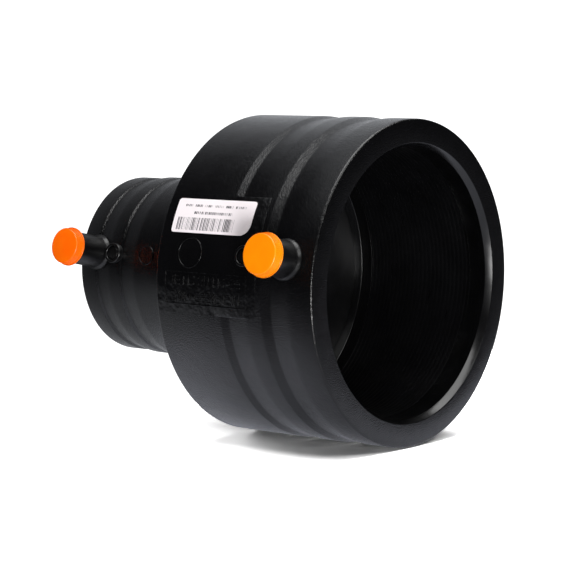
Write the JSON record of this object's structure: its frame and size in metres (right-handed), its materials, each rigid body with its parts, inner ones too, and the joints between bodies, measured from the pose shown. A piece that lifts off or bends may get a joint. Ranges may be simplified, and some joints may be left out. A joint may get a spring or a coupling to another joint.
{
  "type": "electrofusion reducer coupler",
  "caption": "Black polyethylene electrofusion reducer coupler with a large and a small socket, heating coil, shrouded terminals with orange caps, fusion indicators and a label.",
  "frame": {"origin": "centre of the small socket's end face, on the bore axis; the coupler stands on that face", "axes": "+Z along the bore towards the large mouth, -Y the way both terminals point, +X to the right of the terminals seen from their side"},
  "size_m": [0.1344, 0.1503, 0.1505],
  "materials": {
    "black_pe": "satin black polyethylene with a fine moulded grain",
    "coil_pe": "black polyethylene over close wound wire, satin ridges",
    "brass": "turned brass, lightly dulled",
    "large_cap_orange": "bright orange polyethylene, soft gloss",
    "small_cap_orange": "deeper orange polyethylene, soft gloss",
    "label_paper": null
  },
  "bodies": {
    "root": {"body": "black_pe", "heating_coil": "coil_pe", "large_terminal_pin": "brass", "small_terminal_pin": "brass", "large_terminal_cap": "large_cap_orange", "small_terminal_cap": "small_cap_orange", "large_indicator_pin": "black_pe", "small_indicator_pin": "black_pe", "label": "label_paper"}
  },
  "joints": []
}
